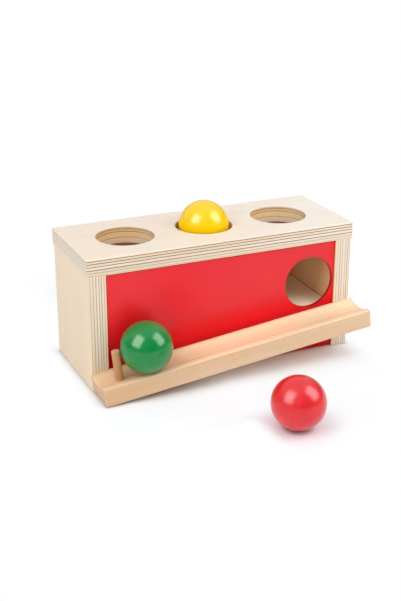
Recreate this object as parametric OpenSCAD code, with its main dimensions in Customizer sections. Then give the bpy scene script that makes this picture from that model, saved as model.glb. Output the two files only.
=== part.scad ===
// Object permanence box: a plywood box whose lid has three drop holes, with a sloping ramp inside,
// a painted front panel with an exit hole, and a coved gutter that carries each ball down to a peg.
// X runs along the box, -Y is the front, Z is up. The origin is on the floor under the box's middle.

/* [Box] */
// Width over the outer faces of the two side walls
box_w = 278; // [260:1:320]
// Depth of the side walls, front edge to back edge
box_d = 105.4; // [95:0.2:130]
// Height from the floor to the top of the lid
box_h = 132; // [130:1:160]
// Thickness of the plywood lid
lid_t = 17; // [14:0.5:20]
// Thickness of the plywood side walls
wall_t = 17; // [15:0.5:20]
// How far the lid stands out past each side wall
lid_overhang = 1.3; // [0:0.1:5]
// Radius of the eased edges on the thick boards
edge_ease = 0.8; // [0.3:0.1:1.5]

/* [Balls and holes] */
// Diameter of the wooden balls
ball_d = 50; // [46:1:54]
// How much wider a drop hole is than a ball
drop_clear = 6; // [3:0.5:10]
// How far the outer drop holes stand outside the middle of their third of the inside
drop_spread = 1.9; // [0:0.1:4]
// How much wider the exit hole is than a ball
exit_clear = 3; // [2:0.5:8]
// Strip of front panel between the exit hole and the right wall
exit_margin = 2; // [1:0.5:20]
// Strip of front panel between the exit hole and the lid
exit_head = 14.3; // [8:0.1:24]
// Step down from the exit hole to the rim of the gutter
exit_step = 3; // [2:0.5:8]
// Where the loose ball stands, right of the box's middle
loose_ball_x = 4; // [-100:0.5:100]
// How far the loose ball's middle stands in front of the box
loose_ball_out = 141.8; // [120:0.2:220]

/* [Retaining rings] */
// Bore of the soft ring that holds a ball in its hole
ring_bore = 36; // [32:0.5:42]
// Thickness of the soft ring
ring_t = 2.5; // [1.5:0.1:3.5]
// Gap between the outer rings and the side walls
ring_side_gap = 2; // [0.5:0.1:5]

/* [Panels] */
// Thickness of the front and back panels
panel_t = 4; // [3:0.5:6]
// How far the panels stand back from the edges of the side walls
panel_recess = 2; // [1:0.5:6]
// Depth of the grooves in the side walls that hold the panels
groove_depth = 5; // [3:0.5:6]
// Gap between the floor and the panels
panel_floor_gap = 1; // [0.5:0.5:5]
// Thickness of the bottom board
bottom_t = 4; // [3:0.5:6]
// Depth of the rebates in the side walls that hold the bottom board
rebate_depth = 5; // [3:0.5:6]

/* [Ramp] */
// Thickness of the sloping board inside the box
ramp_t = 6; // [4:0.5:9]
// Fall of the ramp towards the exit end, in degrees
ramp_fall = 2.5; // [1:0.1:3]
// Tip of the ramp towards the front panel, in degrees
ramp_tip = 1.5; // [0.5:0.1:3]
// Width of the cleats under the ramp's ends
cleat_w = 12; // [8:1:20]
// Height of the cleats at the front
cleat_h = 14; // [8:1:20]

/* [Gutter] */
// How far the gutter bar stands out in front of the side walls
gutter_w = 37.5; // [30:0.5:44]
// Thickness of the gutter bar
gutter_t = 18; // [13:0.5:22]
// How far the low end of the gutter passes the left wall
gutter_left_reach = 1.1; // [0:0.1:10]
// How far the high end of the gutter passes the right wall
gutter_right_reach = 3.6; // [0:0.1:15]
// Gap between the floor and the gutter's lowest corner
gutter_floor_gap = 0.2; // [0.2:0.1:10]
// Radius of the cove along the gutter
cove_r = 26; // [26:0.5:40]
// Depth of the cove at its middle
cove_depth = 4.5; // [3:0.5:5]
// How far the cove lies behind the middle of the bar, which leaves the front lip wider
cove_shift = 1; // [0:0.1:1]
// Radius of the gutter's rounded long edges
gutter_round = 1.2; // [0.5:0.1:1.5]
// Diameter of the stop peg
peg_d = 8; // [6:0.5:12]
// Height of the stop peg above the cove
peg_rise = 30.5; // [27:0.5:45]
// Depth of the stop peg's hole
peg_depth = 8; // [5:0.5:9]
// Distance of the stop peg from the low end, along the slope
peg_inset = 22; // [12:0.5:40]
// Chamfer round the top of the stop peg
peg_chamfer = 0.8; // [0.3:0.1:1.5]

/* [Dowels] */
// Diameter of the dowels between the lid and the side walls
lid_dowel_d = 8; // [6:1:10]
// Length of the dowels between the lid and the side walls
lid_dowel_len = 30; // [20:1:40]
// How far those dowels reach up into the lid
lid_dowel_grip = 10; // [6:0.5:11]
// Distance of those dowels from the box's middle, front to back
lid_dowel_y = 28; // [20:1:32]
// Diameter of the dowels that carry the gutter
gutter_dowel_d = 6; // [5:0.5:8]
// Length of the dowels that carry the gutter
gutter_dowel_len = 30; // [20:1:40]
// Distance of those dowels from the outer faces of the side walls
gutter_dowel_inset = 6; // [5:0.5:6]

/* [Fits] */
// Gap between a resting ball and what carries it
seat_gap = 0.3; // [0.1:0.1:0.5]
// Play of a panel in its groove, on each side
panel_play = 0.2; // [0.1:0.05:0.4]
// Radial glue gap round a dowel
glue_gap = 0.05; // [0.02:0.01:0.1]
// Spare depth past the end of a dowel
dowel_spare = 0.5; // [0.2:0.1:1.5]

/* [Hidden] */
$fn = 96;
// Overshoot of a cut past the face that it opens
cut = 1;
// Half-length of the block that trims the cleats
far = 2 * (box_w + box_d);

// Finishes
birch = [0.95, 0.88, 0.78];
thin_birch = [0.88, 0.77, 0.62];
beech = [0.93, 0.76, 0.58];
dowel_beech = [0.80, 0.60, 0.43];
red_paint = [0.86, 0.13, 0.15];
rubber = [0.22, 0.14, 0.10];
ball_yellow = [0.97, 0.78, 0.05];
ball_green = [0.05, 0.56, 0.27];
ball_red = [0.87, 0.16, 0.19];

// Box
wall_h = box_h - lid_t;
inner_x = box_w / 2 - wall_t;
front_y = -box_d / 2;
panel_y = front_y + panel_recess;
panel_inner_y = panel_y + panel_t;
ball_r = ball_d / 2;
drop_r = (ball_d + drop_clear) / 2;
drop_pitch = 2 * inner_x / 3 + drop_spread;

// Exit hole, near the right wall and the lid
exit_r = (ball_d + exit_clear) / 2;
exit_x = inner_x - exit_margin - exit_r;
exit_z = wall_h - exit_head - exit_r;
exit_low = exit_z - exit_r;

// Slope of a bar whose lowest corner is on the level and whose rim rises to a height over a run
function rim_slope(rise, run, guess = 0, steps = 5) = steps == 0 ? guess
    : rim_slope(rise, run, atan((rise - gutter_t * cos(guess)) / run), steps - 1);

// Gutter, whose own frame starts at the top corner of its low end and runs up the slope,
// so that its rim passes a step below the exit hole
gutter_x0 = -box_w / 2 - gutter_left_reach;
gutter_slope = rim_slope(exit_low - exit_step - gutter_floor_gap, exit_x - gutter_x0);
gutter_z0 = gutter_floor_gap + gutter_t * cos(gutter_slope);
gutter_len = (box_w + gutter_left_reach + gutter_right_reach) / cos(gutter_slope);
gutter_deep = gutter_w + panel_recess - panel_play;
gutter_mid_y = front_y - gutter_w + gutter_deep / 2;
cove_y = gutter_mid_y + cove_shift;
cove_axis_n = cove_r - cove_depth;
cove_half = sqrt(cove_r * cove_r - cove_axis_n * cove_axis_n);
gutter_dowel_x = box_w / 2 - gutter_dowel_inset;

// Height of the gutter's rim, and of the middle of its thickness, at a place along the box
function gutter_rim(x) = gutter_z0 + (x - gutter_x0) * tan(gutter_slope);
function gutter_core(x) = gutter_rim(x) - gutter_t / 2 / cos(gutter_slope);

// The ramp's upper face passes through the lowest point of the exit hole
function ramp_top(x, y) = exit_low - (x - exit_x) * tan(ramp_fall)
    + (y - panel_inner_y) * tan(ramp_tip) / cos(ramp_fall);

// The rings reach out to the nearest upright board, and the held ball sits on its ring's rounded lip
ring_or = min(inner_x - drop_pitch, -panel_inner_y) - ring_side_gap;
lip_r = ring_t / 2;
held_z = wall_h - lip_r + sqrt(pow(ball_r + lip_r + seat_gap, 2) - pow(ring_bore / 2 + lip_r, 2));

// The ball in the gutter leans on the front panel, the gutter and the stop peg
lean_y = panel_y - ball_r - seat_gap;
lean_off = cove_y - lean_y;
cove_room = cove_r - ball_r - seat_gap;
lean_on_cove = lean_off < cove_room * cove_half / cove_r;
lean_n = lean_on_cove
    ? cove_axis_n - sqrt(pow(cove_room, 2) - pow(lean_off, 2))
    : sqrt(pow(ball_r + seat_gap, 2) - pow(cove_half - lean_off, 2));
lean_s = peg_inset + sqrt(pow(ball_r + peg_d / 2 + seat_gap, 2) - pow(lean_off, 2));

// Rectangle with round corners, about the origin
module rounded_rect(w, h, r) {
    square([w - 2 * r, h], center = true);
    square([w, h - 2 * r], center = true);
    for (x = [-1, 1], y = [-1, 1])
        translate([x * (w / 2 - r), y * (h / 2 - r)]) circle(r);
}

// Board with every edge eased, standing on the XY plane about the Z axis
module eased_board(w, d, h) {
    intersection() {
        linear_extrude(h) rounded_rect(w, d, edge_ease);
        translate([0, d / 2, h / 2]) rotate([90, 0, 0]) linear_extrude(d) rounded_rect(w, h, edge_ease);
        translate([-w / 2, 0, h / 2]) rotate([90, 0, 90]) linear_extrude(w) rounded_rect(d, h, edge_ease);
    }
}

// Cylinder along Y, from y = 0 backwards
module rod_y(d, len) {
    rotate([-90, 0, 0]) cylinder(d = d, h = len);
}

// Places of the lid's dowels, at the lid's under side
module at_lid_dowels(sides) {
    for (side = sides, end = [-1, 1])
        translate([side * (box_w - wall_t) / 2, end * lid_dowel_y, wall_h]) children();
}

// Places of the gutter's dowels, at the front edges of the side walls
module at_gutter_dowels(sides) {
    for (side = sides) {
        x = side * gutter_dowel_x;
        translate([x, front_y, gutter_core(x)]) children();
    }
}

// Hole for a dowel whose ends lie low and high along Z
module dowel_hole(d, low, high) {
    translate([0, 0, low - dowel_spare])
        cylinder(d = d + 2 * glue_gap, h = high - low + 2 * dowel_spare);
}

module gutter_place() {
    translate([gutter_x0, 0, gutter_z0]) rotate([0, -gutter_slope, 0]) children();
}

module ramp_place() {
    translate([exit_x, panel_inner_y, exit_low]) rotate([ramp_tip, ramp_fall, 0]) children();
}

// Drop hole through the lid, with its upper rim eased
module drop_hole() {
    translate([0, 0, wall_h - cut]) cylinder(r = drop_r, h = lid_t + 2 * cut);
    translate([0, 0, box_h - edge_ease])
        cylinder(r1 = drop_r, r2 = drop_r + edge_ease + cut, h = edge_ease + cut);
}

module lid() {
    color(birch) difference() {
        translate([0, 0, wall_h]) eased_board(box_w + 2 * lid_overhang, box_d, lid_t);
        for (hole = [-1, 0, 1]) translate([hole * drop_pitch, 0, 0]) drop_hole();
        at_lid_dowels([-1, 1]) dowel_hole(lid_dowel_d, lid_dowel_grip - lid_dowel_len, lid_dowel_grip);
    }
}

// Groove for a panel that stands near the front (-1) or back (1) edges
module panel_groove(end) {
    low = panel_y - panel_play;
    wide = panel_t + 2 * panel_play;
    translate([-inner_x - groove_depth, end > 0 ? -low - wide : low, -cut])
        cube([2 * (inner_x + groove_depth), wide, wall_h + 2 * cut]);
}

// Side wall on the left (-1) or right (1)
module side_wall(side) {
    color(birch) difference() {
        translate([side * (box_w - wall_t) / 2, 0, 0]) eased_board(wall_t, box_d, wall_h);
        panel_groove(-1);
        panel_groove(1);
        translate([-inner_x - rebate_depth, panel_inner_y, -cut])
            cube([2 * (inner_x + rebate_depth), -2 * panel_inner_y, bottom_t + panel_play + cut]);
        at_lid_dowels([side]) dowel_hole(lid_dowel_d, lid_dowel_grip - lid_dowel_len, lid_dowel_grip);
        at_gutter_dowels([side]) translate([0, -cut, 0])
            rod_y(gutter_dowel_d + 2 * glue_gap, gutter_dowel_len / 2 + dowel_spare + cut);
    }
}

module left_wall() {
    side_wall(-1);
}

module right_wall() {
    side_wall(1);
}

// Thin panel that slides into the walls' grooves, from its outer face backwards
module panel_blank() {
    wide = 2 * (inner_x + groove_depth - panel_play);
    translate([-wide / 2, 0, panel_floor_gap]) cube([wide, panel_t, wall_h - panel_play - panel_floor_gap]);
}

module front_panel() {
    color(red_paint) difference() {
        translate([0, panel_y, 0]) panel_blank();
        translate([exit_x, panel_y - cut, exit_z]) rod_y(2 * exit_r, panel_t + 2 * cut);
    }
}

module back_panel() {
    color(thin_birch) translate([0, -panel_inner_y, 0]) panel_blank();
}

module bottom_board() {
    wide = 2 * (inner_x + rebate_depth - panel_play);
    deep = -2 * (panel_inner_y + panel_play);
    color(thin_birch) translate([-wide / 2, -deep / 2, 0]) cube([wide, deep, bottom_t]);
}

// Everything between the walls and panels, less the panels' play
module chamber(wide) {
    deep = -2 * (panel_inner_y + panel_play);
    translate([-wide / 2, -deep / 2, bottom_t]) cube([wide, deep, wall_h - bottom_t]);
}

// The ramp's ends and edges are bevelled to stand flat against the upright boards
module ball_ramp() {
    color(thin_birch) intersection() {
        ramp_place() translate([-far, -far, -ramp_t]) cube([2 * far, 2 * far, ramp_t]);
        chamber(2 * inner_x);
    }
}

// Cleat on the left (-1) or right (1) wall, with its top cut to the ramp's under side
module ramp_cleat(side) {
    x = side * inner_x;
    under = ramp_top(x, panel_inner_y) - ramp_t;
    color(beech) difference() {
        intersection() {
            translate([side > 0 ? x - cleat_w : x, panel_inner_y, under - cleat_h])
                cube([cleat_w, -2 * panel_inner_y, wall_h]);
            chamber(2 * inner_x);
        }
        ramp_place() translate([-far, -far, -ramp_t]) cube([2 * far, 2 * far, far]);
    }
}

module left_ramp_cleat() {
    ramp_cleat(-1);
}

module right_ramp_cleat() {
    ramp_cleat(1);
}

// Soft ring under the drop hole at the left (-1), middle (0) or right (1)
module hole_ring(hole) {
    lip_mid = ring_bore / 2 + lip_r;
    color(rubber) translate([hole * drop_pitch, 0, wall_h - lip_r]) rotate_extrude() {
        translate([lip_mid, 0]) circle(lip_r);
        translate([lip_mid, -lip_r]) square([ring_or - lip_mid, ring_t]);
    }
}

module left_hole_ring() {
    hole_ring(-1);
}

module middle_hole_ring() {
    hole_ring(0);
}

module right_hole_ring() {
    hole_ring(1);
}

// Section of the gutter bar, with its upper face on the X axis
module gutter_section() {
    difference() {
        translate([0, -gutter_t / 2]) rounded_rect(gutter_deep, gutter_t, gutter_round);
        translate([cove_shift, cove_axis_n]) circle(cove_r);
    }
}

// The bar reaches back to the front panel, and its ends are notched to stand in front of the walls
module gutter() {
    color(beech) difference() {
        gutter_place() difference() {
            translate([0, gutter_mid_y, 0]) rotate([90, 0, 90]) linear_extrude(gutter_len) gutter_section();
            translate([peg_inset, cove_y, -cove_depth - peg_depth - dowel_spare])
                cylinder(d = peg_d + 2 * glue_gap, h = peg_depth + dowel_spare + cove_depth + cut);
        }
        for (side = [-1, 1])
            translate([side * (inner_x - panel_play + far / 2), front_y + far / 2, 0]) cube(far, center = true);
        at_gutter_dowels([-1, 1]) translate([0, -gutter_dowel_len / 2 - dowel_spare, 0])
            rod_y(gutter_dowel_d + 2 * glue_gap, gutter_dowel_len / 2 + dowel_spare + cut);
    }
}

module stop_peg() {
    straight = peg_depth + peg_rise - peg_chamfer;
    color(dowel_beech) gutter_place() translate([peg_inset, cove_y, -cove_depth - peg_depth]) {
        cylinder(d = peg_d, h = straight);
        translate([0, 0, straight]) cylinder(d1 = peg_d, d2 = peg_d - 2 * peg_chamfer, h = peg_chamfer);
    }
}

module lid_dowels() {
    color(dowel_beech) at_lid_dowels([-1, 1]) translate([0, 0, lid_dowel_grip - lid_dowel_len])
        cylinder(d = lid_dowel_d, h = lid_dowel_len);
}

module gutter_dowels() {
    color(dowel_beech) at_gutter_dowels([-1, 1]) translate([0, -gutter_dowel_len / 2, 0])
        rod_y(gutter_dowel_d, gutter_dowel_len);
}

module yellow_ball() {
    color(ball_yellow) translate([0, 0, held_z]) sphere(ball_r);
}

module green_ball() {
    color(ball_green) gutter_place() translate([lean_s, lean_y, lean_n]) sphere(ball_r);
}

module red_ball() {
    color(ball_red) translate([loose_ball_x, front_y - loose_ball_out, ball_r]) sphere(ball_r);
}

lid();
left_wall();
right_wall();
front_panel();
back_panel();
bottom_board();
ball_ramp();
left_ramp_cleat();
right_ramp_cleat();
left_hole_ring();
middle_hole_ring();
right_hole_ring();
gutter();
stop_peg();
lid_dowels();
gutter_dowels();
yellow_ball();
green_ball();
red_ball();
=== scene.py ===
import math

import bmesh
import bpy
from mathutils import Euler, Matrix, Vector


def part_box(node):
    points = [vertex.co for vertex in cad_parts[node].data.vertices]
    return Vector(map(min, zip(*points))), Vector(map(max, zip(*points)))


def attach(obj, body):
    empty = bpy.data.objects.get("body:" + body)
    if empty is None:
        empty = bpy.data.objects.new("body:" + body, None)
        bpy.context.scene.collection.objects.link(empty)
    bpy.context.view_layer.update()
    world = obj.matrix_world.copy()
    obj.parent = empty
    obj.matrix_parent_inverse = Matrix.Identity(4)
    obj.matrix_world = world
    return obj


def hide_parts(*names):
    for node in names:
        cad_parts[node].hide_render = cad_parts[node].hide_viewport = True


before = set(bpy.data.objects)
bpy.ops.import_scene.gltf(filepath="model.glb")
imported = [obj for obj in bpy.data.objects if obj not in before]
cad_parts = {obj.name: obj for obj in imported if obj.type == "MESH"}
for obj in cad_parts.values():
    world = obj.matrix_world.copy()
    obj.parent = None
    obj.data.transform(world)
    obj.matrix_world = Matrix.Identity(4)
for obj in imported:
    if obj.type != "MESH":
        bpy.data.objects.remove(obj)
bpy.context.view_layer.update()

scene = bpy.context.scene
scene.view_settings.view_transform = "Standard"
mm = 0.001
print("frame loaded:", len(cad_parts), "solids")


# a Wire is one socket of a node tree, and sums of wires add Math nodes to that tree
class Wire:
    def __init__(self, sheet, socket):
        self.sheet, self.socket = sheet, socket

    def maths(self, operation, first, second=0.0):
        return self.sheet.add("ShaderNodeMath", {"operation": operation}, {0: first, 1: second})

    def __add__(self, other):
        return self.maths("ADD", self, other)

    def __radd__(self, other):
        return self.maths("ADD", other, self)

    def __sub__(self, other):
        return self.maths("SUBTRACT", self, other)

    def __rsub__(self, other):
        return self.maths("SUBTRACT", other, self)

    def __mul__(self, other):
        return self.maths("MULTIPLY", self, other)

    def __rmul__(self, other):
        return self.maths("MULTIPLY", other, self)

    def __truediv__(self, other):
        return self.maths("DIVIDE", self, other)

    def __rtruediv__(self, other):
        return self.maths("DIVIDE", other, self)

    def __pow__(self, power):
        return self.maths("POWER", self, power)

    def __neg__(self):
        return self.maths("MULTIPLY", self, -1.0)

    def __abs__(self):
        return self.maths("ABSOLUTE", self)

    def atLeast(self, other):
        return self.maths("MAXIMUM", self, other)

    def pick(self, output):      # another output of the same node
        return Wire(self.sheet, self.socket.node.outputs[output])


class Sheet:
    def __init__(self, tree):
        self.tree = tree

    # every node comes from here: its type, its settings, then the values or links of its sockets
    def add(self, kind, settings=None, sockets=None):
        node = self.tree.nodes.new(kind)
        for name, value in (settings or {}).items():
            if name == "stops":
                ramp = node.color_ramp
                ramp.elements.remove(ramp.elements[1])
                for step, (place, colour) in enumerate(value):
                    stop = ramp.elements[0] if step == 0 else ramp.elements.new(place)
                    stop.position, stop.color = place, colour
            else:
                setattr(node, name, value)
        for key, value in (sockets or {}).items():
            if isinstance(value, Wire):
                self.tree.links.new(value.socket, node.inputs[key])
            else:
                node.inputs[key].default_value = value
        return Wire(self, node.outputs[0]) if len(node.outputs) else node

    def vector(self, x, y, z):
        return self.add("ShaderNodeCombineXYZ", {}, {0: x, 1: y, 2: z})

    def split(self, vector):
        parts = self.add("ShaderNodeSeparateXYZ", {}, {0: vector})
        return [parts.pick(i) for i in range(3)]

    def dot(self, vector, direction):
        product = self.add("ShaderNodeVectorMath", {"operation": "DOT_PRODUCT"}, {0: vector, 1: direction})
        return product.pick("Value")

    def sized(self, place, size):      # a place counted in steps of a pattern's size
        return self.vector(*[part / step for part, step in zip(place, size)])

    def noise(self, place, size, detail, rough):
        return self.add("ShaderNodeTexNoise", {}, {"Vector": self.sized(place, size), "Scale": 1.0,
                                                   "Detail": detail, "Roughness": rough})

    def span(self, value, low, high, atLow=0.0, atHigh=1.0):
        return self.add("ShaderNodeMapRange", {"interpolation_type": "SMOOTHSTEP", "clamp": True},
                        {0: value, 1: low, 2: high, 3: atLow, 4: atHigh})

    def mix(self, share, first, second, blend="MIX"):
        return self.add("ShaderNodeMix", {"data_type": "RGBA", "blend_type": blend},
                        {0: share, 6: first, 7: second}).pick(2)

    def ramp(self, share, stops):
        return self.add("ShaderNodeValToRGB", {"stops": stops}, {"Fac": share}).pick("Color")

    # object coordinates in millimetres, moved and turned into a board's own directions
    def millimetres(self, move=(0, 0, 0), turn=(0, 0, 0)):
        place = self.add("ShaderNodeTexCoord").pick("Object")
        placed = self.add("ShaderNodeMapping", {"vector_type": "TEXTURE"},
                          {"Vector": place, "Location": move, "Rotation": turn})
        return self.add("ShaderNodeVectorMath", {"operation": "SCALE"}, {0: placed, "Scale": 1 / mm})

    def bump(self, height, strength, depth):
        return self.add("ShaderNodeBump", {}, {"Strength": strength, "Distance": depth, "Height": height})

    def surface(self, sockets):
        shader = self.add("ShaderNodeBsdfPrincipled", {}, sockets)
        self.add("ShaderNodeOutputMaterial", {}, {"Surface": shader})


def newMaterial(name):
    material = bpy.data.materials.new(name)
    material.use_nodes = True
    material.node_tree.nodes.clear()
    return material, Sheet(material.node_tree)


def distance(first, second):
    return (first * first + second * second) ** 0.5


def srgb(red, green, blue):      # 0 to 255 as a picture shows it, as Blender's linear colour
    def linear(c):
        return c / 12.92 if c <= 0.04045 else ((c + 0.055) / 1.055) ** 2.4
    return tuple(linear(c / 255) for c in (red, green, blue)) + (1.0,)


# birch plywood, drawn right through the board: face veneers, long-grain plies and dark cross plies
# here and below a noise is its size in millimetres in three directions, then its detail and roughness
birch = {
    "face": srgb(246, 231, 213), "ply": srgb(242, 229, 212), "plyGrey": srgb(236, 226, 212),
    "plyGold": srgb(241, 224, 200), "cross": srgb(152, 124, 97), "glue": srgb(132, 92, 66),
    "sawn": srgb(238, 236, 234), "streakTint": (0.83, 0.73, 0.61, 1.0), "poreTint": (0.69, 0.53, 0.39, 1.0),
    "jointShadeTint": (0.3, 0.2, 0.15, 1.0),
    "plyOrder": ["plyGold", "plyGrey", "ply", "plyGrey", "plyGold"], "lineWidth": 0.58, "soft": 0.2,
    "outerVeneer": (0.02, 0.024), "innerVeneer": (0.975, 0.98),
    "wander": ((34, 34, 5), 3.0, 0.6), "dots": ((0.4, 0.4, 0.4), 3.0, 0.7), "dotted": 0.6,
    "flame": ((260, 22, 2.5), 2.0, 0.4), "flames": 11.0, "ridgeSpan": (0.05, 0.5), "ridgeShare": 0.07,
    "streak": ((85, 1.25, 1.25), 5.0, 0.6), "streakSpan": (0.36, 0.72), "streakShare": 0.34,
    "tone": ((220, 40, 2), 2.0, 0.5), "toneSpan": (0.4, 0.7), "toneShare": 0.14,
    "pore": ((6, 0.3, 0.3), 2.0, 0.5), "poreSpan": (0.62, 0.74), "poreShare": 0.20,
    "edgeSpan": (0.5, 0.95), "sawnSpan": (0.55, 0.95), "roughness": 0.47, "roughSpread": 0.16,
    "specular": 0.12, "relief": {"streak": 0.6, "dots": 0.25, "pore": 0.5}, "bump": (0.22, 0.00012),
}


def plyRamp(thick, lines, skin, inner):
    # stops for the colour of each ply, by the share of the thickness: lines are (place, darkness, width)
    face = birch["face"]
    gaps = [face] + [birch[tone] for tone in birch["plyOrder"][:len(lines) - 1]] + [face]
    stops = [(0.0, skin), (birch["outerVeneer"][0], skin), (birch["outerVeneer"][1], face)]
    soft = birch["soft"] / thick
    for (place, darkness, width), before, after in zip(lines, gaps, gaps[1:]):
        half = birch["lineWidth"] * width / thick / 2
        dark = tuple(a + (b - a) * darkness for a, b in zip(before, birch["cross"]))
        stops += [(place - half - soft, before), (place - half, dark)]
        stops += [(place + half, dark), (place + half + soft, after)]
    return stops + [(birch["innerVeneer"][0], face), (birch["innerVeneer"][1], inner)]


def plywood(name, board):
    material, sheet = newMaterial(name)
    axes = sheet.split(sheet.millimetres(board.get("move", (0, 0, 0)), board.get("turn", (0, 0, 0))))
    grain, stack, thick = board["grain"], board["stack"], board["thick"]
    side = 3 - grain - stack
    along = axes[grain]
    depth = (axes[stack] - board["outer"]) * board["inward"]
    place = (along, axes[side], depth)

    # plies wander a little in the press
    wander = sheet.noise(place, *birch["wander"])
    share = depth / thick + (wander - 0.5) * (board["wander"] / thick)
    # the inner faces are drawn warmer and brighter: painted warm bounce light inside the box
    skin, inner = board.get("skin", birch["face"]), board.get("inner", birch["face"])
    plies = sheet.ramp(share, plyRamp(thick, board["lines"], skin, inner))
    if "bores" in board:      # the sawn walls of the drop holes show warm end and side grain
        bore = board["bores"]
        fold = abs(axes[0])
        fold = fold.maths("MINIMUM", fold, abs(fold - bore["pitch"]))
        inBore = sheet.span(distance(fold, axes[1]), *bore["wall"], 1.0, 0.0)
        plies = sheet.mix(inBore, plies, sheet.ramp(share, bore["stops"]))

    # rotary-cut figure: slow flames, fibre streaks and short pores
    flame = sheet.noise(place, *birch["flame"]) * birch["flames"]
    contour = flame.maths("FRACT", flame)
    ridge = sheet.span(abs(contour - 0.5), *birch["ridgeSpan"])
    streak = sheet.noise(place, *birch["streak"])
    pore = sheet.span(sheet.noise(place, *birch["pore"]), *birch["poreSpan"])
    tone = sheet.noise(place, *birch["tone"])
    figure = sheet.span(streak, *birch["streakSpan"]) * birch["streakShare"] + ridge * birch["ridgeShare"]
    figure = figure + sheet.span(tone, *birch["toneSpan"]) * birch["toneShare"]
    wood = sheet.mix(figure * board["figure"], plies, birch["streakTint"], "MULTIPLY")
    wood = sheet.mix(pore * birch["poreShare"] * board["figure"], wood, birch["poreTint"], "MULTIPLY")

    if "drift" in board:      # the sheet is warmer and darker towards one side; on the ramp this is painted shade, away from the exit hole
        drift = board["drift"]
        warmer = sheet.span(axes[drift["axis"]], drift["from"], drift["to"], 1.0, 0.0)
        wood = sheet.mix(warmer, wood, drift["tint"], "MULTIPLY")

    # sawn ends of the fibres look greyer, with fine dots
    facing = sheet.split(sheet.add("ShaderNodeTexCoord").pick("Normal"))
    if "edgeTint" in board:
        edge = sheet.span(abs(facing[side]), *birch["edgeSpan"])
        wood = sheet.mix(edge, wood, board["edgeTint"], "MULTIPLY")
    sawn = sheet.span(abs(facing[grain]), *birch["sawnSpan"])
    dots = sheet.noise(place, *birch["dots"])
    greyed = sawn * (1 - birch["dotted"] + birch["dotted"] * dots) * board["sawn"]
    wood = sheet.mix(greyed, wood, birch["sawn"])

    for patch in board.get("patches", []):      # small wooden fillers let into a core gap
        lengthwise = (along - patch["along"]) / patch["long"]
        upright = (depth - patch["depth"]) / patch["high"]
        reach = lengthwise ** 2 + upright ** 2
        inside = sheet.span(reach, *patch["fillSpan"], 1.0, 0.0)
        rim = sheet.span(abs(reach - 1.0), *patch["rimSpan"], 1.0, 0.0)
        wood = sheet.mix(inside * patch["fill"], wood, birch["plyGold"])
        wood = sheet.mix(rim * patch["rim"], wood, birch["glue"])

    if "jointShade" in board:      # dark line at the glued joint of the low end, drawn dark as painted shade in the corner by the wall
        wood = sheet.mix(sheet.span(along, *board["jointShade"]), wood, birch["jointShadeTint"], "MULTIPLY")

    heights = birch["relief"]
    relief = streak * heights["streak"] + dots * heights["dots"] - pore * heights["pore"]
    sheet.surface({
        "Base Color": wood,
        "Roughness": streak * birch["roughSpread"] + (birch["roughness"] - birch["roughSpread"] / 2),
        "Specular IOR Level": birch["specular"],
        "Normal": sheet.bump(relief, *birch["bump"]),
    })
    return material


# inner colours: painted warm bounce light on the faces inside the box
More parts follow.
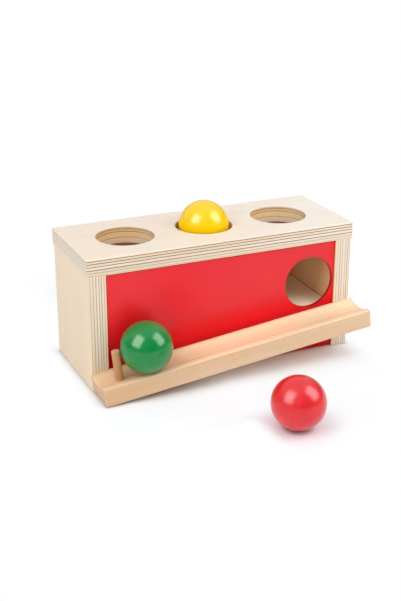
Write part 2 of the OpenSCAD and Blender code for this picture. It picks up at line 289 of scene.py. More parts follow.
boards = {
    "lid": {
        "grain": 0, "stack": 2, "outer": 132.0, "inward": -1.0, "thick": 17.0,
        "wander": 0.5, "figure": 1.0, "sawn": 0.3, "skin": srgb(250, 241, 231), "inner": srgb(252, 226, 184),
        "drift": {"axis": 0, "from": -60.0, "to": 140.0, "tint": (0.955, 0.915, 0.868, 1.0)},
        "lines": [(0.105, 1.0, 1.0), (0.262, 1.0, 1.0), (0.425, 0.95, 1.0), (0.615, 0.95, 1.15),
                  (0.775, 0.6, 0.9), (0.925, 0.45, 0.8)],
        "patches": [{"along": 77.0, "depth": 8.8, "long": 6.0, "high": 0.9, "fill": 0.75, "rim": 0.35,
                     "fillSpan": (0.75, 1.0), "rimSpan": (0.0, 0.35)}],
        "bores": {"pitch": 83.233, "wall": (28.3, 28.8), "stops": [
            (0.0, srgb(180, 130, 86)), (0.05, srgb(222, 182, 138)), (0.09, srgb(238, 204, 162)),
            (0.12, srgb(134, 88, 54)), (0.15, srgb(244, 210, 166)), (0.24, srgb(246, 212, 168)),
            (0.27, srgb(138, 92, 56)), (0.31, srgb(255, 226, 164)), (0.58, srgb(255, 228, 168)),
            (0.62, srgb(214, 170, 124)), (0.67, srgb(253, 234, 208)), (0.9, srgb(250, 226, 198))]},
    },
    "left_wall": {
        "grain": 2, "stack": 0, "outer": -139.0, "inward": 1.0, "thick": 17.0,
        "wander": 0.35, "figure": 0.8, "sawn": 0.5, "skin": srgb(237, 217, 191), "inner": srgb(255, 208, 154),
        "edgeTint": (0.965, 0.945, 0.89, 1.0),
        "lines": [(0.06, 0.6, 0.8), (0.245, 0.6, 1.0), (0.41, 0.65, 1.0), (0.575, 0.65, 1.1),
                  (0.715, 0.65, 1.0), (0.88, 0.5, 0.9)],
    },
    "right_wall": {
        "grain": 2, "stack": 0, "outer": 139.0, "inward": -1.0, "thick": 17.0,
        "wander": 0.35, "figure": 1.0, "sawn": 0.5, "skin": srgb(237, 217, 191), "inner": srgb(255, 208, 154),
        "lines": [(0.055, 0.45, 0.6), (0.19, 0.6, 1.0), (0.335, 0.55, 0.9), (0.53, 0.6, 1.0),
                  (0.68, 0.6, 1.0), (0.87, 0.4, 0.9)],
    },
    "back_panel": {
        "grain": 0, "stack": 1, "outer": 50.7, "inward": -1.0, "thick": 4.0,
        "wander": 0.1, "figure": 1.25, "sawn": 0.4, "inner": srgb(253, 190, 124), "lines": [(0.5, 0.7, 1.4)],
    },
    "bottom_board": {
        "grain": 0, "stack": 2, "outer": 0.0, "inward": 1.0, "thick": 4.0,
        "wander": 0.1, "figure": 1.25, "sawn": 0.4, "inner": srgb(255, 208, 152), "lines": [(0.5, 0.7, 1.4)],
    },
    "ball_ramp": {
        "grain": 0, "stack": 2, "outer": 0.0, "inward": -1.0, "thick": 6.0,
        # jointShade: painted shade in the corner where the ramp's low end meets the wall
        "wander": 0.1, "figure": 0.55, "sawn": 0.4, "skin": srgb(255, 238, 208), "jointShade": (26.8, 28.2),
        # painted shade: the ramp is drawn darker away from the exit hole
        "drift": {"axis": 1, "from": 42.0, "to": 10.0, "tint": (0.84, 0.70, 0.60, 1.0)},
        "move": (0.0935, -0.0467, 0.0477), "turn": (math.radians(1.5), math.radians(2.5), 0.0),
        "lines": [(0.26, 0.7, 0.9), (0.5, 0.6, 1.0), (0.74, 0.7, 0.9)],
    },
}
for node, board in boards.items():
    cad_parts[node].material_slots[0].material = plywood(node + "Birch", board)
print("plywood boards finished:", len(boards))


# solid beech: growth rings round a far pith, fibre lines and the small brown flecks of the rays
beechGrain = {
    "bend": ((170, 26, 26), 2.0, 0.5), "ringBend": 2.6, "lateRise": (0.35, 0.92), "lateEnd": (0.93, 1.0),
    "lateShare": 0.42, "fibre": ((60, 0.75, 0.75), 6.0, 0.64), "fibreSpan": (0.42, 0.72), "fibreShare": 0.34,
    "cells": (4.2, 0.95, 0.95), "cellSpan": (0.10, 0.24), "fleckSize": ((7, 3, 3), 1.0, 0.5),
    "fleckSpan": (0.42, 0.62), "tone": ((210, 16, 16), 2.0, 0.5), "toneSpan": (0.35, 0.68),
    "dots": ((0.35, 0.35, 0.35), 3.0, 0.7), "dotted": 0.65, "sawnSpan": (0.6, 0.95), "sawnShare": 0.8,
    "shadedFlankSpan": (0.75, 0.97), "roughSpread": 0.16, "specular": 0.14,
    "relief": {"fibre": 0.55, "late": 0.25, "dots": 0.2, "fleck": 0.3}, "bump": (0.2, 0.00012),
}


def beech(name, look):
    material, sheet = newMaterial(name)
    axes = sheet.split(sheet.millimetres(look["move"], look["turn"]))
    place = [axes[i] for i in look["order"]]
    along, across, depth = place
    bend = sheet.noise(place, *beechGrain["bend"])
    fromPith = ((across - look["pith"][0]) ** 2 + (depth - look["pith"][1]) ** 2) ** 0.5
    ring = fromPith / look["ringPitch"] + bend * beechGrain["ringBend"]
    year = ring.maths("FRACT", ring)
    late = sheet.span(year, *beechGrain["lateRise"]) * sheet.span(year, *beechGrain["lateEnd"], 1.0, 0.0)
    fibre = sheet.noise(place, *beechGrain["fibre"])
    cells = sheet.add("ShaderNodeTexVoronoi", {"feature": "F1"},
                      {"Vector": sheet.sized(place, beechGrain["cells"]), "Scale": 1.0})
    size = sheet.noise(place, *beechGrain["fleckSize"])
    fleck = sheet.span(cells.pick("Distance"), *beechGrain["cellSpan"], 1.0, 0.0)
    fleck = fleck * sheet.span(size, *beechGrain["fleckSpan"])
    tone = sheet.noise(place, *beechGrain["tone"])

    normal = sheet.add("ShaderNodeTexCoord").pick("Normal")
    facing = sheet.split(sheet.add("ShaderNodeMapping", {"vector_type": "NORMAL"},
                                   {"Vector": normal, "Rotation": tuple(-a for a in look["turn"])}))
    sawn = sheet.span(abs(facing[look["order"][0]]), *beechGrain["sawnSpan"])
    dots = sheet.noise(place, *beechGrain["dots"])

    wood = sheet.mix(sheet.span(tone, *beechGrain["toneSpan"]), look["pale"], look["warm"])
    wood = sheet.mix(late * beechGrain["lateShare"] * look["rings"], wood, look["late"])
    fibrous = sheet.span(fibre, *beechGrain["fibreSpan"]) * beechGrain["fibreShare"]
    wood = sheet.mix(fibrous, wood, look["late"])
    wood = sheet.mix(fleck * (1 - sawn) * look["flecks"], wood, look["fleck"])
    greyed = sawn * (1 - beechGrain["dotted"] + beechGrain["dotted"] * dots) * beechGrain["sawnShare"]
    wood = sheet.mix(greyed, wood, look["sawnEnd"])
    # painted shade: one pair of side faces is drawn darker, on the bar its front and back faces
    shadedFlank = sheet.span(abs(facing[look["order"][1]]), *beechGrain["shadedFlankSpan"])
    wood = sheet.mix(shadedFlank, wood, look["shadedFlank"], "MULTIPLY")
    if "drift" in look:      # warmer towards one end
        drift = look["drift"]
        warmer = sheet.span(along, drift["from"], drift["to"], 1.0, 0.0)
        wood = sheet.mix(warmer, wood, drift["tint"], "MULTIPLY")
    heights = beechGrain["relief"]
    relief = fibre * heights["fibre"] + late * heights["late"]
    relief = relief + dots * heights["dots"] - fleck * heights["fleck"]
    sheet.surface({
        "Base Color": wood,
        "Roughness": fibre * beechGrain["roughSpread"] + (look["roughness"] - beechGrain["roughSpread"] / 2),
        "Specular IOR Level": beechGrain["specular"],
        "Normal": sheet.bump(relief, *beechGrain["bump"]),
    })
    return material


slope = math.radians(6.500085)
barStart = (-140.1, 0.0, 18.0843)      # low end of the bar's rim line, in millimetres
barLook = {
    "move": tuple(c * mm for c in barStart), "turn": (0.0, -slope, 0.0), "order": (0, 1, 2),
    "pith": (-40.0, -64.0), "ringPitch": 2.3, "rings": 0.4, "flecks": 0.55, "roughness": 0.44,
    "pale": srgb(251, 225, 190), "warm": srgb(246, 213, 174), "late": srgb(224, 180, 138),
    # shadedFlank: painted shade on the bar's front and back faces
    "shadedFlank": (0.80, 0.75, 0.72, 1.0), "fleck": srgb(186, 128, 88), "sawnEnd": srgb(196, 162, 138),
}
pegLook = dict(barLook, order=(2, 0, 1), pith=(30.0, -110.0), ringPitch=1.4, flecks=0.45,
               pale=srgb(216, 164, 120), warm=srgb(202, 148, 105), late=srgb(168, 114, 74),
               shadedFlank=(1.0, 1.0, 1.0, 1.0), fleck=srgb(132, 84, 50), sawnEnd=srgb(220, 178, 140))
cleatLook = dict(barLook, order=(1, 0, 2), pith=(18.0, 30.0),
                 pale=srgb(236, 202, 164), warm=srgb(226, 188, 148))
lowEnd = {"from": 0.0, "to": 130.0, "tint": (0.91, 0.84, 0.78, 1.0)}
barBeech = beech("barBeech", dict(barLook, drift=lowEnd))
pegBeech = beech("pegBeech", pegLook)
cleatBeech = beech("cleatBeech", cleatLook)
for node in ("left_ramp_cleat", "right_ramp_cleat"):
    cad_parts[node].material_slots[0].material = cleatBeech
print("beech finished")


def newPiece(name, mesh):
    piece = bpy.data.objects.new(name, mesh)
    scene.collection.objects.link(piece)
    return piece


def settle(piece):      # the evaluated result becomes the piece's own plain mesh, with no modifier left
    graph = bpy.context.evaluated_depsgraph_get()
    plain = bpy.data.meshes.new_from_object(piece.evaluated_get(graph), depsgraph=graph)
    piece.modifiers.clear()
    piece.data = plain


def runTree(piece, tree, values):
    modifier = piece.modifiers.new(tree.name, "NODES")
    modifier.node_group = tree
    for item in tree.interface.items_tree:
        if item.in_out == "INPUT" and item.name in values:
            modifier[item.identifier] = values[item.name]


def newTree(name, sockets):
    tree = bpy.data.node_groups.new(name, "GeometryNodeTree")
    tree.interface.new_socket("Geometry", in_out="INPUT", socket_type="NodeSocketGeometry")
    for label, kind in sockets:
        tree.interface.new_socket(label, in_out="INPUT", socket_type="NodeSocket" + kind)
    tree.interface.new_socket("Geometry", in_out="OUTPUT", socket_type="NodeSocketGeometry")
    sheet = Sheet(tree)
    return tree, sheet, sheet.add("NodeGroupInput")


def closeTree(sheet, geometry, given):
    real = sheet.add("GeometryNodeRealizeInstances", {}, {"Geometry": geometry})
    dressed = sheet.add("GeometryNodeSetMaterial", {}, {"Geometry": real, "Material": given.pick("Material")})
    sheet.add("NodeGroupOutput", {}, {"Geometry": dressed})


# lathe: the mesh given holds a half profile as edges (x is the radius) and its places as loose points
def latheTree():
    tree, sheet, given = newTree("turnOnLathe", [
        ("Steps", "Int"), ("Flutes", "Float"), ("Flute Depth", "Float"), ("Flute Twist", "Float"),
        ("Fluted Half", "Float"), ("Tilt", "Vector"), ("Material", "Material")])
    loose = sheet.add("FunctionNodeCompare", {"data_type": "INT", "operation": "EQUAL"},
                      {2: sheet.add("GeometryNodeInputMeshVertexNeighbors").pick("Vertex Count"), 3: 0})
    parted = sheet.add("GeometryNodeSeparateGeometry", {"domain": "POINT"},
                       {"Geometry": given.pick("Geometry"), "Selection": loose})
    profile = sheet.add("GeometryNodeMeshToCurve", {}, {"Mesh": parted.pick("Inverted")})
    wheel = sheet.add("GeometryNodeCurvePrimitiveCircle", {"mode": "RADIUS"},
                      {"Resolution": given.pick("Steps"), "Radius": latheRadius})
    level = sheet.add("GeometryNodeSetCurveNormal", {"mode": "Z_UP"}, {"Curve": wheel})
    turned = sheet.add("GeometryNodeCurveToMesh", {}, {"Curve": level, "Profile Curve": profile})
    closed = sheet.add("GeometryNodeMergeByDistance", {}, {"Geometry": turned, "Distance": 1e-6})

    # flutes are pressed in round the rod, between its chamfered ends
    x, y, z = sheet.split(sheet.add("GeometryNodeInputPosition"))
    angle = y.maths("ARCTAN2", y, x)
    wave = angle * given.pick("Flutes") + z * given.pick("Flute Twist")
    crest = sheet.span(wave.maths("COSINE", wave), 0.2, 1.0)
    inside = sheet.span(given.pick("Fluted Half") - abs(z), 0.0, 0.001)
    press = crest * inside * given.pick("Flute Depth") / (distance(x, y) + 1e-6)
    fluted = sheet.add("GeometryNodeSetPosition", {},
                       {"Geometry": closed, "Offset": sheet.vector(-(x * press), -(y * press), 0.0)})
    tilt = sheet.add("FunctionNodeEulerToRotation", {}, {"Euler": given.pick("Tilt")})
    placed = sheet.add("GeometryNodeInstanceOnPoints", {},
                       {"Points": parted, "Instance": fluted, "Rotation": tilt})
    smooth = sheet.add("GeometryNodeSetShadeSmooth", {}, {"Geometry": placed})
    closeTree(sheet, smooth, given)
    return tree


latheRadius = 0.1
lathe = latheTree()


def turn(name, profile, places, values, closed=False, crease=35.0):
    count = len(profile)
    corners = [(radius * mm - latheRadius, -height * mm, 0.0) for radius, height in profile]
    links = [(i, i + 1) for i in range(count - 1)] + ([(count - 1, 0)] if closed else [])
    mesh = bpy.data.meshes.new(name)
    mesh.from_pydata(corners + [Vector(p) * mm for p in places], links, [])
    piece = newPiece(name, mesh)
    smoothRod = {"Flutes": 0.0, "Flute Depth": 0.0, "Flute Twist": 0.0, "Fluted Half": 0.0,
                 "Tilt": (0.0, 0.0, 0.0)}
    runTree(piece, lathe, {**smoothRod, **values})
    settle(piece)
    shell = bmesh.new()
    shell.from_mesh(piece.data)
    bmesh.ops.recalc_face_normals(shell, faces=shell.faces)
    shell.to_mesh(piece.data)
    shell.free()
    piece.data.set_sharp_from_angle(angle=math.radians(crease))
    return piece


def arc(centre, radius, start, end, steps):      # degrees, both ends given
    angles = [math.radians(start + (end - start) * i / steps) for i in range(steps + 1)]
    return [(centre[0] + radius * math.cos(a), centre[1] + radius * math.sin(a)) for a in angles]


# balls: turned, with the small flats of the lathe's centres, and dipped in gloss lacquer
lacquerLook = {
    "cloud": ((14, 14, 14), 3.0, 0.55), "cloudSpan": (0.35, 0.7), "peel": ((1.6, 1.6, 1.6), 2.0, 0.5),
    "rings": ((0.55, 90, 90), 3.0, 0.6), "upperSpan": (5.5, 12.0), "roughness": 0.34, "roughSpread": 0.1,
    "specular": 0.05, "bump": (0.12, 0.00006),
}


def lacquer(name, look):
    material, sheet = newMaterial(name)
    spot = sheet.millimetres(tuple(c * mm for c in look["centre"]))
    x, y, z = sheet.split(spot)
    cloud = sheet.noise((x, y, z), *lacquerLook["cloud"])
    peel = sheet.noise((x, y, z), *lacquerLook["peel"])
    height = sheet.dot(spot, tuple(Euler(look["tilt"]).to_matrix() @ Vector((0, 0, 1))))
    rings = sheet.noise((height, x, y), *lacquerLook["rings"])
    spread = lacquerLook["roughSpread"]
    sheet.surface({
        "Base Color": sheet.mix(sheet.span(cloud, *lacquerLook["cloudSpan"]), look["deep"], look["bright"]),
        "Roughness": cloud * spread + (lacquerLook["roughness"] - spread / 2),
        "Specular IOR Level": lacquerLook["specular"],
        # the photograph shows gloss on the yellow ball's upper part only
        "Coat Weight": sheet.span(z, *lacquerLook["upperSpan"], look["lowGloss"], 1.0),
        "Coat Roughness": look["coatRoughness"],
        "Normal": sheet.bump(rings * 0.5 + peel * 0.5, *lacquerLook["bump"]),
    })
    return material


balls = {
    "yellowBall": {"node": "yellow_ball", "slot": "yellow_lacquer", "tilt": (1.2, 1.0, 0.3), "lowGloss": 0.05,
                   "deep": srgb(249, 201, 1), "bright": srgb(252, 208, 3), "coatRoughness": 0.21},
    "greenBall": {"node": "green_ball", "slot": "green_lacquer", "tilt": (0.4, 1.45, -0.4), "lowGloss": 1.0,
                  "deep": srgb(0, 127, 57), "bright": srgb(2, 133, 61), "coatRoughness": 0.19},
    "redBall": {"node": "red_ball", "slot": "red_lacquer", "tilt": (1.5, 0.2, -1.1), "lowGloss": 1.0,
                "deep": srgb(217, 32, 38), "bright": srgb(225, 37, 42), "coatRoughness": 0.24},
}
ballShape = {"radius": 24.985, "flat": 1.1, "profileSteps": 72, "roundSteps": 128}
for name, look in balls.items():
    low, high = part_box(look["node"])
    look["centre"] = tuple((a + b) / 2 / mm for a, b in zip(low, high))
    tip = math.degrees(math.asin(ballShape["flat"] / 2 / ballShape["radius"]))
    half = arc((0.0, 0.0), ballShape["radius"], -90 + tip, 90 - tip, ballShape["profileSteps"])
    profile = [(0.0, half[0][1])] + half + [(0.0, half[-1][1])]
    ball = turn(name, profile, [look["centre"]], {"Steps": ballShape["roundSteps"], "Tilt": look["tilt"],
                                                  "Material": lacquer(name + "Lacquer", look)})
    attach(ball, look["node"])
    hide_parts(look["node"])
print("balls turned:", len(balls))


# stop peg and hidden dowels
def rodProfile(rod, rows=24):
    r, h, chamfer = rod["diameter"] / 2, rod["length"] / 2, rod["chamfer"]
    low = [(0.0, -h), (r - chamfer, -h), (r, -h + chamfer)]
    middle = [(r, -h + chamfer + (rod["length"] - 2 * chamfer) * i / rows) for i in range(1, rows)]
    softer = (r - chamfer * 0.35, h - chamfer * 0.3)      # the upper rim is rounded over
    return low + middle + [(r, h - chamfer), softer, (r - chamfer, h), (0.0, h)]


def alongBar(s, y, n):      # a place given along the sloping bar, above its rim line, in millimetres
    return (barStart[0] + s * math.cos(slope) - n * math.sin(slope), y,
            barStart[2] + s * math.sin(slope) + n * math.cos(slope))


pegRod = {"diameter": 8.0, "length": 38.5, "chamfer": 0.8, "place": (22.0, -69.55, 6.75), "steps": 64}
peg = turn("stopPeg", rodProfile(pegRod), [alongBar(*pegRod["place"])],
           {"Steps": pegRod["steps"], "Tilt": (0.0, -slope, 0.0), "Material": pegBeech}, crease=25.0)
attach(peg, "box")
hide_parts("stop_peg")
flutes = {"Steps": 60, "Flutes": 12.0, "Flute Depth": 0.00028, "Fluted Half": 0.0135, "Material": pegBeech}
dowels = {
    "lidDowels": {"node": "lid_dowels", "diameter": 8.0, "length": 30.0, "chamfer": 0.9, "twist": 60.0,
                  "tilt": (0.0, 0.0, 0.0),
                  "places": [(x, y, 110.0) for x in (-130.5, 130.5) for y in (-28.0, 28.0)]},
    "gutterDowels": {"node": "gutter_dowels", "diameter": 6.0, "length": 30.0, "chamfer": 0.9, "twist": 80.0,
                     "tilt": (math.pi / 2, 0.0, 0.0),
                     "places": [(-133.0, -52.7, 9.835), (133.0, -52.7, 40.142)]},
}
for name, look in dowels.items():
    rods = turn(name, rodProfile(look), look["places"],
                {**flutes, "Tilt": look["tilt"], "Flute Twist": look["twist"]}, crease=40.0)
    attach(rods, "box")
    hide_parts(look["node"])
print("peg and dowels turned")


# soft rings under the drop holes, moulded with a shallow groove and a bead
def softRubber(name, look):
    material, sheet = newMaterial(name)
    place = sheet.split(sheet.millimetres())
    dust = sheet.noise(place, *look["dust"])
    grit = sheet.noise(place, *look["grit"])
    bloom = sheet.span(dust, *look["bloomSpan"]) * look["bloomShare"]
    sheet.surface({
        "Base Color": sheet.mix(bloom, look["body"], look["bloom"]),
        "Roughness": dust * look["roughSpread"] + look["roughness"],
        "Specular IOR Level": look["specular"],
        "Normal": sheet.bump(grit, *look["bump"]),
    })
    return material


rings = {
    "bore": 36.0, "outer": 73.5, "thick": 2.5, "pitch": 83.233, "level": 113.75,
    "groove": 0.35, "grooveAt": 3.5, "bead": 1.1, "beadAt": 26.6, "chamfer": 0.3, "steps": 96,
    "body": srgb(118, 66, 42), "bloom": srgb(140, 86, 58), "bloomSpan": (0.4, 0.75), "bloomShare": 0.5,
    "dust": ((3, 3, 3), 4.0, 0.6), "grit": ((0.3, 0.3, 0.3), 2.0, 0.6),
    "roughness": 0.6, "roughSpread": 0.2, "specular": 0.35, "bump": (0.2, 0.0001),
}
lip = rings["thick"] / 2
inner = rings["bore"] / 2 + lip
edge, chamfer = rings["outer"] / 2, rings["chamfer"]
ringProfile = arc((inner, 0.0), lip, 270, 90, 14)
ringProfile += arc((inner + rings["grooveAt"], lip), rings["groove"], 180, 360, 5)
ringProfile += arc((rings["beadAt"], lip), rings["bead"], 180, 0, 10)      # centres the ring in its hole
ringProfile += [(edge - chamfer, lip), (edge, lip - chamfer), (edge, -lip + chamfer), (edge - chamfer, -lip)]
holeRings = turn("holeRings", ringProfile, [(k * rings["pitch"], 0.0, rings["level"]) for k in (-1, 0, 1)],
                 {"Steps": rings["steps"], "Material": softRubber("ringRubber", rings)}, closed=True)
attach(holeRings, "box")
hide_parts("left_hole_ring", "middle_hole_ring", "right_hole_ring")
print("rings moulded")


# gutter: its section is swept along the sloping line, then the sawn ends are eased
def sweepTree():
    tree, sheet, given = newTree("sweepSection", [
        ("Start", "Vector"), ("End", "Vector"), ("Material", "Material")])
    line = sheet.add("GeometryNodeCurvePrimitiveLine", {"mode": "POINTS"},
                     {"Start": given.pick("Start"), "End": given.pick("End")})
    steps = sheet.add("GeometryNodeResampleCurve", {"mode": "COUNT"}, {"Curve": line, "Count": 2})
    level = sheet.add("GeometryNodeSetCurveNormal", {"mode": "Z_UP"}, {"Curve": steps})
    section = sheet.add("GeometryNodeMeshToCurve", {}, {"Mesh": given.pick("Geometry")})
    swept = sheet.add("GeometryNodeCurveToMesh", {},
                      {"Curve": level, "Profile Curve": section, "Fill Caps": True})
    closeTree(sheet, swept, given)
    return tree


bar = {
    "wide": 39.3, "thick": 18.0, "length": 284.529, "midY": -70.55, "round": 1.0, "endEase": 1.1,
    "coveRadius": 26.0, "coveDepth": 4.5, "coveY": -69.55, "notchFrom": 121.8, "notchFace": -52.7,
    "easeOver": 50, "creaseOver": 32,
}


def barSection():
    # rounded bar with the cove let into its top, as (y, n) points
    back, front = bar["midY"] + bar["wide"] / 2, bar["midY"] - bar["wide"] / 2
    r, low = bar["round"], -bar["thick"]
    axis = bar["coveRadius"] - bar["coveDepth"]
    reach = math.degrees(math.acos(axis / bar["coveRadius"]))
    points = arc((front + r, -r), r, 90, 180, 6) + arc((front + r, low + r), r, 180, 270, 6)
    points += arc((back - r, low + r), r, 270, 360, 6)
    topBack = bar["coveY"] + bar["coveRadius"] * math.sin(math.radians(reach))
    small = min(r, (back - topBack) * 0.95)      # the narrow back rim takes a smaller round
    points += arc((back - small, -small), small, 0, 90, 5)
    return points + arc((bar["coveY"], axis), bar["coveRadius"], 270 + reach, 270 - reach, 40)


section = bpy.data.meshes.new("gutterBar")
sectionPoints = barSection()
section.from_pydata([(-y * mm, -n * mm, 0.0) for y, n in sectionPoints],
                    [(i, (i + 1) % len(sectionPoints)) for i in range(len(sectionPoints))], [])
gutterBar = newPiece("gutterBar", section)
runTree(gutterBar, sweepTree(), {"Start": Vector(alongBar(0.0, 0.0, 0.0)) * mm,
                                 "End": Vector(alongBar(bar["length"], 0.0, 0.0)) * mm, "Material": barBeech})
ease = gutterBar.modifiers.new("easeEnds", "BEVEL")
ease.limit_method, ease.angle_limit = "ANGLE", math.radians(bar["easeOver"])
ease.width, ease.segments = bar["endEase"] * mm, 4
# its ends are notched to stand in front of the side walls
block, blockLevel = 0.1, 0.03
shell = bmesh.new()
for side in (-1, 1):
    corners = bmesh.ops.create_cube(shell, size=block)["verts"]
    move = (side * (bar["notchFrom"] * mm + block / 2), bar["notchFace"] * mm + block / 2, blockLevel)
    bmesh.ops.translate(shell, verts=corners, vec=move)
notchMesh = bpy.data.meshes.new("notches")
shell.to_mesh(notchMesh)
shell.free()
notches = newPiece("notches", notchMesh)
notch = gutterBar.modifiers.new("notchEnds", "BOOLEAN")
notch.operation, notch.solver, notch.object = "DIFFERENCE", "EXACT", notches
settle(gutterBar)
bpy.data.objects.remove(notches)
for face in gutterBar.data.polygons:
    face.use_smooth = True
gutterBar.data.set_sharp_from_angle(angle=math.radians(bar["creaseOver"]))
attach(gutterBar, "box")
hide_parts("gutter")
print("gutter swept:", len(gutterBar.data.polygons), "faces")


# front panel: a thin board with eased edges and an eased exit hole, sprayed with satin red
def satinPaint(name, look):
    material, sheet = newMaterial(name)
    x, y, z = sheet.split(sheet.millimetres())
    cloud = sheet.noise((x, y, z), *look["cloud"])
    peel = sheet.noise((x, y, z), *look["peel"])
    grainLines = sheet.noise((x, y, z), *look["grainLines"])
    # painted shade: the exit hole's wall and eased edge are drawn a deeper red
    fromHole = distance(x - look["hole"][0], z - look["hole"][1])
    rim = sheet.span(fromHole, *look["rimSpan"], 1.0, 0.0)
    colour = sheet.mix(sheet.span(cloud, *look["cloudSpan"]), look["deep"], look["bright"])
    colour = sheet.mix(rim * look["rimShare"], colour, look["rim"])
    # drawn darker where the photograph has shade: by the gutter, the lid, the posts and the low left corner
    aboveBar = z - barStart[2] - (x - barStart[0]) * math.tan(slope)
    shade = sheet.span(aboveBar, *look["byBar"]) + sheet.span(z, *look["byLid"])
    shade = shade + sheet.span(abs(x), *look["byPosts"])
    corner = sheet.span(x, *look["cornerAcross"]) * sheet.span(aboveBar, *look["cornerUp"])
    colour = sheet.mix(shade.atLeast(corner), colour, look["shade"])
    sheet.surface({
        "Base Color": colour,
        "Roughness": cloud * look["roughSpread"] + (look["roughness"] - look["roughSpread"] / 2),
        "Specular IOR Level": look["specular"],
        "Coat Weight": sheet.span(aboveBar, *look["coat"]) * (1 - corner),
        "Coat Roughness": look["coatRoughness"],
        "Normal": sheet.bump(peel * 0.5 + grainLines * 0.5, *look["bump"]),
    })
    return material


# byBar to coat: from and to in millimetres, then the share at each
panel = {
    "left": -126.8, "right": 126.8, "low": 1.0, "high": 114.8, "face": -50.7, "thick": 4.0, "ease": 0.45,
    "hole": (93.5, 74.2), "holeRadius": 26.5, "holeSteps": 112, "rimSpan": (26.6, 27.4), "rimShare": 0.6,
    "deep": srgb(226, 8, 24), "bright": srgb(231, 14, 28), "rim": srgb(168, 12, 20), "shade": srgb(138, 0, 4),
    "cloud": ((60, 60, 40), 2.0, 0.5), "cloudSpan": (0.3, 0.7), "peel": ((1.4, 1.4, 1.4), 2.0, 0.5),
    "grainLines": ((70, 1.6, 1.6), 4.0, 0.6),
    "byBar": (1.0, 9.0, 0.35, 0.0), "byLid": (113.2, 114.6, 0.0, 0.6), "byPosts": (120.6, 121.8, 0.0, 0.5),
    "cornerAcross": (-122.0, -106.0, 0.85, 0.0), "cornerUp": (3.0, 36.0, 1.0, 0.0),
    "coat": (2.0, 34.0, 0.25, 1.0),
    "coatRoughness": 0.32, "roughness": 0.3, "roughSpread": 0.12, "specular": 0.02, "bump": (0.1, 0.00008),
}


def plate(name, loops, face, thick, ease, material):
    # loops give their (x, z) points for an inset; every rim is rounded front and back
    shell = bmesh.new()

    def outline(loop, inset, depth):
        return [shell.verts.new((x * mm, (face + depth) * mm, z * mm)) for x, z in loop(inset)]

    turns = [math.radians(a) for a in (0, 22.5, 45, 67.5, 90)]
    quarter = [(ease * (1 - math.sin(a)), ease * (1 - math.cos(a))) for a in turns]
    stations = quarter + [(inset, thick - depth) for inset, depth in reversed(quarter)]
    for inset, depth in (stations[0], stations[-1]):
        edges = []
        for loop in loops:
            corners = outline(loop, inset, depth)
            edges += [shell.edges.new((corners[i - 1], corners[i])) for i in range(len(corners))]
        bmesh.ops.triangle_fill(shell, edges=edges, use_beauty=True, normal=(0, -1, 0))
    for loop in loops:
        rows = [outline(loop, inset, depth) for inset, depth in stations]
        for near, far in zip(rows, rows[1:]):
            for i in range(len(near)):
                shell.faces.new((near[i - 1], near[i], far[i], far[i - 1]))
    bmesh.ops.remove_doubles(shell, verts=shell.verts, dist=1e-7)
    bmesh.ops.recalc_face_normals(shell, faces=shell.faces)
    for f in shell.faces:
        f.smooth = True
    mesh = bpy.data.meshes.new(name)
    shell.to_mesh(mesh)
    shell.free()
    mesh.materials.append(material)
    mesh.set_sharp_from_angle(angle=math.radians(30))
    return newPiece(name, mesh)


def panelEdge(inset):
    left, right = panel["left"] + inset, panel["right"] - inset
    low, high = panel["low"] + inset, panel["high"] - inset
    return [(left, low), (right, low), (right, high), (left, high)]


def exitHole(inset):
    return arc(panel["hole"], panel["holeRadius"] + inset, 0, 360, panel["holeSteps"])[:-1]


frontPanel = plate("frontPanel", [panelEdge, exitHole], panel["face"], panel["thick"], panel["ease"],
                   satinPaint("panelRed", panel))
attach(frontPanel, "box")
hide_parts("front_panel")
print("front panel made:", len(frontPanel.data.polygons), "faces")


# camera, as the photograph was taken
shot = {"place": (-0.42818, -0.942432, 0.468494), "ahead": (0.381172, 0.845493, -0.373966),
        "up": (0.152524, 0.34145, 0.927442), "lens": 65.5008, "sensor": 36.0, "clip": (0.01, 100.0)}
ahead, up = Vector(shot["ahead"]).normalized(), Vector(shot["up"])
right = ahead.cross(up).normalized()
up = right.cross(ahead)
camera = bpy.data.objects.new("camera", bpy.data.cameras.new("camera"))
camera.data.lens, camera.data.sensor_width = shot["lens"], shot["sensor"]
camera.data.clip_start, camera.data.clip_end = shot["clip"]
camera.matrix_world = Matrix((right, up, -ahead)).transposed().to_4x4()
camera.location = shot["place"]
scene.collection.objects.link(camera)
scene.camera = camera

# lamps: the softboxes and the fill light matt surfaces only, and the glints show in gloss only
lampAim = (0.0, -0.05, 0.07)
atLeft, atRight, atFront = (-0.756, -0.242, 0.608), (0.631, -0.469, 0.617), (-0.42, -0.80, 0.43)
lamps = {
    "leftSoftbox": {"from": atLeft, "away": 1.35, "size": (0.8, 1.2), "strength": 2.02, "gloss": False},
    "rightSoftbox": {"from": atRight, "away": 1.35, "size": (0.8, 1.2), "strength": 2.2, "gloss": False},
    "frontFill": {"from": atFront, "away": 1.6, "size": (0.7, 0.7), "strength": 1.9, "gloss": False},
    "leftGlint": {"from": atLeft, "away": 1.25, "size": (0.84, 1.05), "strength": 6.2, "gloss": True},
    "rightGlint": {"from": atRight, "away": 1.25, "size": (0.84, 1.05), "strength": 5.4, "gloss": True},
}
for name, box in lamps.items():
    lamp = bpy.data.lights.new(name, "AREA")
    lamp.shape, lamp.size, lamp.size_y = "RECTANGLE", box["size"][0], box["size"][1]
    lamp.energy = box["strength"] * math.pi * box["size"][0] * box["size"][1]
    holder = bpy.data.objects.new(name, lamp)
    toward = Vector(box["from"]).normalized()
    holder.location = Vector(lampAim) + toward * box["away"]
    holder.rotation_euler = toward.to_track_quat("Z", "Y").to_euler()
    holder.visible_camera = False
    holder.visible_diffuse, holder.visible_glossy = not box["gloss"], box["gloss"]
    scene.collection.objects.link(holder)

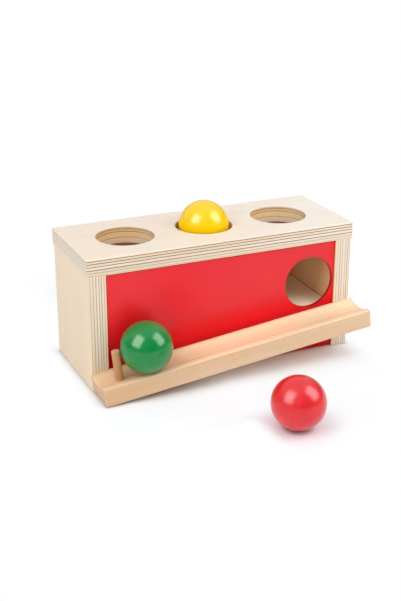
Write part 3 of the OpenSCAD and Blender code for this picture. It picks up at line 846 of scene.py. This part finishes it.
# sky: a bright horizon and a white sweep overhead; in gloss the room is dark and the sweep stands at the back
skies = {
    "matt": {"room": 0.10, "horizon": 1.0, "sweep": 0.85, "from": (0.0, -0.1, 0.995)},
    "gloss": {"room": 0.02, "horizon": 0.04, "sweep": 0.95, "from": (0.0, 0.5, 0.866)},
}
horizonSpan, sweepSpan = (0.05, 0.32), (0.2, 0.9)
world = bpy.data.worlds.new("studioSky")
world.use_nodes = True
world.node_tree.nodes.clear()
sky = Sheet(world.node_tree)
skyward = sky.add("ShaderNodeTexCoord").pick("Generated")
climb = sky.split(skyward)[2]


def skyLevel(part):
    band = sky.span(climb, *horizonSpan, part["horizon"], part["room"])
    facing = sky.dot(skyward, part["from"])
    return band.atLeast(sky.span(facing, *sweepSpan, part["room"], part["sweep"]))


glossy = sky.add("ShaderNodeLightPath").pick("Is Glossy Ray")
level = skyLevel(skies["matt"]) * (1 - glossy) + skyLevel(skies["gloss"]) * glossy
glow = sky.add("ShaderNodeBackground", {}, {"Color": (1, 1, 1, 1), "Strength": level})
sky.add("ShaderNodeOutputWorld", {}, {"Surface": glow})
scene.world = world

# white paper floor that keeps the shadow near the box and ball; the spans are in metres
paper = {
    "colour": srgb(244, 249, 254), "contactShadeTone": (0.52, 0.44, 0.4, 1.0), "half": 30.0,
    "white": (1, 1, 1, 1), "black": (0, 0, 0, 1),
    "middle": (-0.05, -0.07), "fromMiddle": (0.15, 0.37),
    "pastLeft": (0.139, 0.15), "pastRight": (0.124, 0.156),
    "backLeft": {"across": (0.06, 0.12), "back": (0.03, 0.075)},
    "leftOfBall": {"across": (0.012, 0.03), "front": (0.15, 0.17)},
    "ball": (0.004, -0.192), "roundBall": {"out": (0.028, 0.056), "front": (0.12, 0.15), "share": 0.65},
    "underBar": {"from": (0.06, 0.075), "to": (0.13, 0.15), "ends": (0.08, 0.12)},
    "contactShade": 0.0045, "contactUnderBar": 0.01, "contactSamples": 16,
}
floorMaterial, sheet = newMaterial("paperFloor")
x, y = sheet.split(sheet.add("ShaderNodeTexCoord").pick("Object"))[:2]
path = sheet.add("ShaderNodeLightPath")
seen = path.pick("Is Camera Ray").atLeast(path.pick("Is Glossy Ray"))
seen = seen.atLeast(path.pick("Is Transmission Ray"))
# the floor shows white for camera and gloss away from the middle, and as painted light over its own shadow
# past the sides, behind the left wall, left of the ball and round the ball
fade = sheet.span(distance(x - paper["middle"][0], y - paper["middle"][1]), *paper["fromMiddle"])
fade = fade.atLeast(sheet.span(-x, *paper["pastLeft"]) + sheet.span(x, *paper["pastRight"]))
backLeft, leftOfBall = paper["backLeft"], paper["leftOfBall"]
fade = fade.atLeast(sheet.span(-x, *backLeft["across"]) * sheet.span(y, *backLeft["back"]))
fade = fade.atLeast(sheet.span(-x, *leftOfBall["across"]) * sheet.span(-y, *leftOfBall["front"]))
roundBall = sheet.span(distance(x - paper["ball"][0], y - paper["ball"][1]), *paper["roundBall"]["out"])
roundBall = roundBall * sheet.span(-y, *paper["roundBall"]["front"]) * paper["roundBall"]["share"]
fade = fade.atLeast(roundBall) * seen
# painted shadow: the contact line reaches further in this strip under the bar
underBar = sheet.span(-y, *paper["underBar"]["from"]) * sheet.span(-y, *paper["underBar"]["to"], 1.0, 0.0)
underBar = underBar * sheet.span(abs(x), *paper["underBar"]["ends"], 1.0, 0.0)
# painted contact shadow: a dark line where it stands, reaching further under the bar
contactShade = sheet.add("ShaderNodeAmbientOcclusion", {"samples": paper["contactSamples"]},
                    {"Distance": underBar * paper["contactUnderBar"] + paper["contactShade"]}).pick("AO")
shaded = sheet.add("ShaderNodeBsdfDiffuse", {},
                   {"Color": sheet.mix(contactShade, paper["contactShadeTone"], paper["colour"])})
white = sheet.add("ShaderNodeEmission", {}, {"Color": sheet.mix(contactShade, paper["black"], paper["white"])})
surface = sheet.add("ShaderNodeMixShader", {}, {0: fade, 1: shaded, 2: white})
sheet.add("ShaderNodeOutputMaterial", {}, {"Surface": surface})
floorMesh = bpy.data.meshes.new("floor")
half = paper["half"]
floorCorners = [(-half, -half, 0), (half, -half, 0), (half, half, 0), (-half, half, 0)]
floorMesh.from_pydata(floorCorners, [], [(0, 1, 2, 3)])
floorMesh.materials.append(floorMaterial)
floor = newPiece("floor", floorMesh)
print("camera, lamps and floor set")
